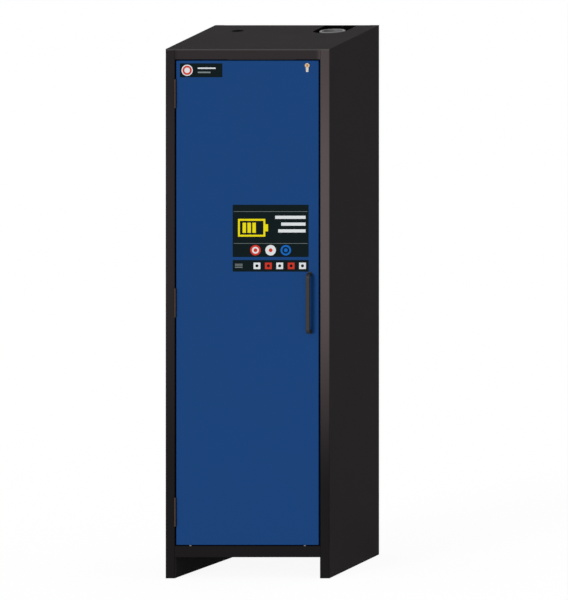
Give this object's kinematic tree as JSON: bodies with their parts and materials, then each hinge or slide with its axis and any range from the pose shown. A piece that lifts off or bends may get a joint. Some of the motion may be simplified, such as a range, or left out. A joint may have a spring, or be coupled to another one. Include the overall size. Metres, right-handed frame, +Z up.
{
  "type": "battery cabinet",
  "caption": "Tall fire-insulated steel cabinet with a hinged lockable door, for storing and charging lithium batteries on slotted shelves.",
  "frame": {"origin": "middle of the bottom of the whole object's box, on the floor", "axes": "+X to the right of someone facing the door, +Y to the rear, +Z up"},
  "size_m": [0.599, 0.644, 1.9545],
  "materials": {
    "casing_black": "fine-textured anthracite powder coat",
    "door_blue": "gentian blue powder coat",
    "cover_grey": "light grey powder coat",
    "shelf_grey": "light grey powder coat",
    "board": "pressed mineral fibre board",
    "lining": "light grey resin-faced board",
    "fire_strip": "brown-grey intumescent strip",
    "seal_rubber": "soft black rubber",
    "handle_grey": "satin dark grey",
    "hinge_steel": "brownish passivated steel",
    "lock_nickel": "satin nickel",
    "lock_brass": "brushed brass",
    "spigot_grey": "mid grey plastic",
    "socket_white": "off-white plastic",
    "strip_grey": "anodised aluminium",
    "rocker_red": "clear red lit rocker",
    "closer_black": "blackened steel",
    "foot_steel": "zinc-plated steel"
  },
  "bodies": {
    "cabinet": {"side_panel_left": "casing_black", "side_panel_right": "casing_black", "top_panel": "casing_black", "rear_panel": "casing_black", "sill": "casing_black", "floor_pan": "casing_black", "leg_plate_left": "casing_black", "leg_plate_right": "casing_black", "front_frame": "casing_black", "frame_fire_strips": "fire_strip", "recess_tray": "casing_black", "insulation_left": "board", "insulation_right": "board", "insulation_rear": "board", "insulation_top": "board", "insulation_base": "board", "lining_left": "lining", "lining_right": "lining", "lining_rear": "lining", "lining_top": "lining", "lining_base": "lining", "exhaust_spigot": "spigot_grey", "exhaust_grille": "spigot_grey", "cable_bushing": "seal_rubber", "strike_box": "casing_black", "closer_rail": "closer_black", "hinge_frame_leaves": "hinge_steel", "hinge_pins": "hinge_steel", "uprights_left": "cover_grey", "uprights_right": "cover_grey", "shelf_hooks": "cover_grey", "sump_tray": "cover_grey", "sump_grid": "cover_grey", "socket_strips": "strip_grey", "socket_inserts": "socket_white", "foot_brackets": "casing_black", "shelf_1": "shelf_grey", "shelf_2": "shelf_grey", "shelf_3": "shelf_grey"},
    "door": {"door_skin": "door_blue", "door_core": "board", "door_cover": "cover_grey", "door_seal": "seal_rubber", "handle_grip": "handle_grey", "handle_roses": "handle_grey", "hinge_door_leaves": "hinge_steel", "lock_cylinder": "lock_nickel", "lock_case": "lock_nickel", "closer_body": "closer_black"},
    "key_core": {"key_core": "lock_brass"},
    "lock_bolt": {"lock_bolt": "lock_nickel"},
    "damper_flap": {"damper_flap": "lock_nickel"},
    "closer_arm": {"closer_arm": "closer_black"},
    "rocker_1": {"rocker_1": "rocker_red"},
    "rocker_2": {"rocker_2": "rocker_red"},
    "rocker_3": {"rocker_3": "rocker_red"},
    "foot_front_left": {"foot_front_left": "foot_steel"},
    "foot_rear_left": {"foot_rear_left": "foot_steel"},
    "foot_front_right": {"foot_front_right": "foot_steel"},
    "foot_rear_right": {"foot_rear_right": "foot_steel"}
  },
  "joints": [
    {"name": "door_swing", "type": "hinge", "parent": "cabinet", "child": "door", "pos_m": [-0.263, -0.2963, 1.0166], "axis": [0, 0, -1], "range_deg": [0, 110]},
    {"name": "key_turn", "type": "hinge", "parent": "door", "child": "key_core", "pos_m": [0.219, -0.293, 1.8928], "axis": [0, -1, 0], "range_deg": [0, 100]},
    {"name": "bolt_slide", "type": "slide", "parent": "door", "child": "lock_bolt", "axis": [1, 0, 0], "range_m": [0, 0.014]},
    {"name": "damper_close", "type": "hinge", "parent": "cabinet", "child": "damper_flap", "pos_m": [0.17, 0.182, 1.8553], "axis": [1, 0, 0], "range_deg": [0, 90]},
    {"name": "closer_arm_turn", "type": "hinge", "parent": "door", "child": "closer_arm", "pos_m": [-0.073, -0.268, 1.9098], "axis": [0, 0, 1], "range_deg": [0, 174.45]},
    {"name": "rocker_1_tip", "type": "hinge", "parent": "cabinet", "child": "rocker_1", "pos_m": [0.132, 0.251, 0.4226], "axis": [1, 0, 0], "range_deg": [0, 16]},
    {"name": "rocker_2_tip", "type": "hinge", "parent": "cabinet", "child": "rocker_2", "pos_m": [0.132, 0.251, 0.81935], "axis": [1, 0, 0], "range_deg": [0, 16]},
    {"name": "rocker_3_tip", "type": "hinge", "parent": "cabinet", "child": "rocker_3", "pos_m": [0.132, 0.251, 1.2161], "axis": [1, 0, 0], "range_deg": [0, 16]},
    {"name": "foot_front_left_screw", "type": "slide", "parent": "cabinet", "child": "foot_front_left", "axis": [0, 0, -1], "range_m": [0, 0.02]},
    {"name": "foot_rear_left_screw", "type": "slide", "parent": "cabinet", "child": "foot_rear_left", "axis": [0, 0, -1], "range_m": [0, 0.02]},
    {"name": "foot_front_right_screw", "type": "slide", "parent": "cabinet", "child": "foot_front_right", "axis": [0, 0, -1], "range_m": [0, 0.02]},
    {"name": "foot_rear_right_screw", "type": "slide", "parent": "cabinet", "child": "foot_rear_right", "axis": [0, 0, -1], "range_m": [0, 0.02]}
  ],
  "couplings": [
    {"joint": "key_turn", "follows": "bolt_slide", "rad_per_m": 124.67},
    {"joint": "closer_arm_turn", "follows": "door_swing", "ratio": 1.5859}
  ]
}
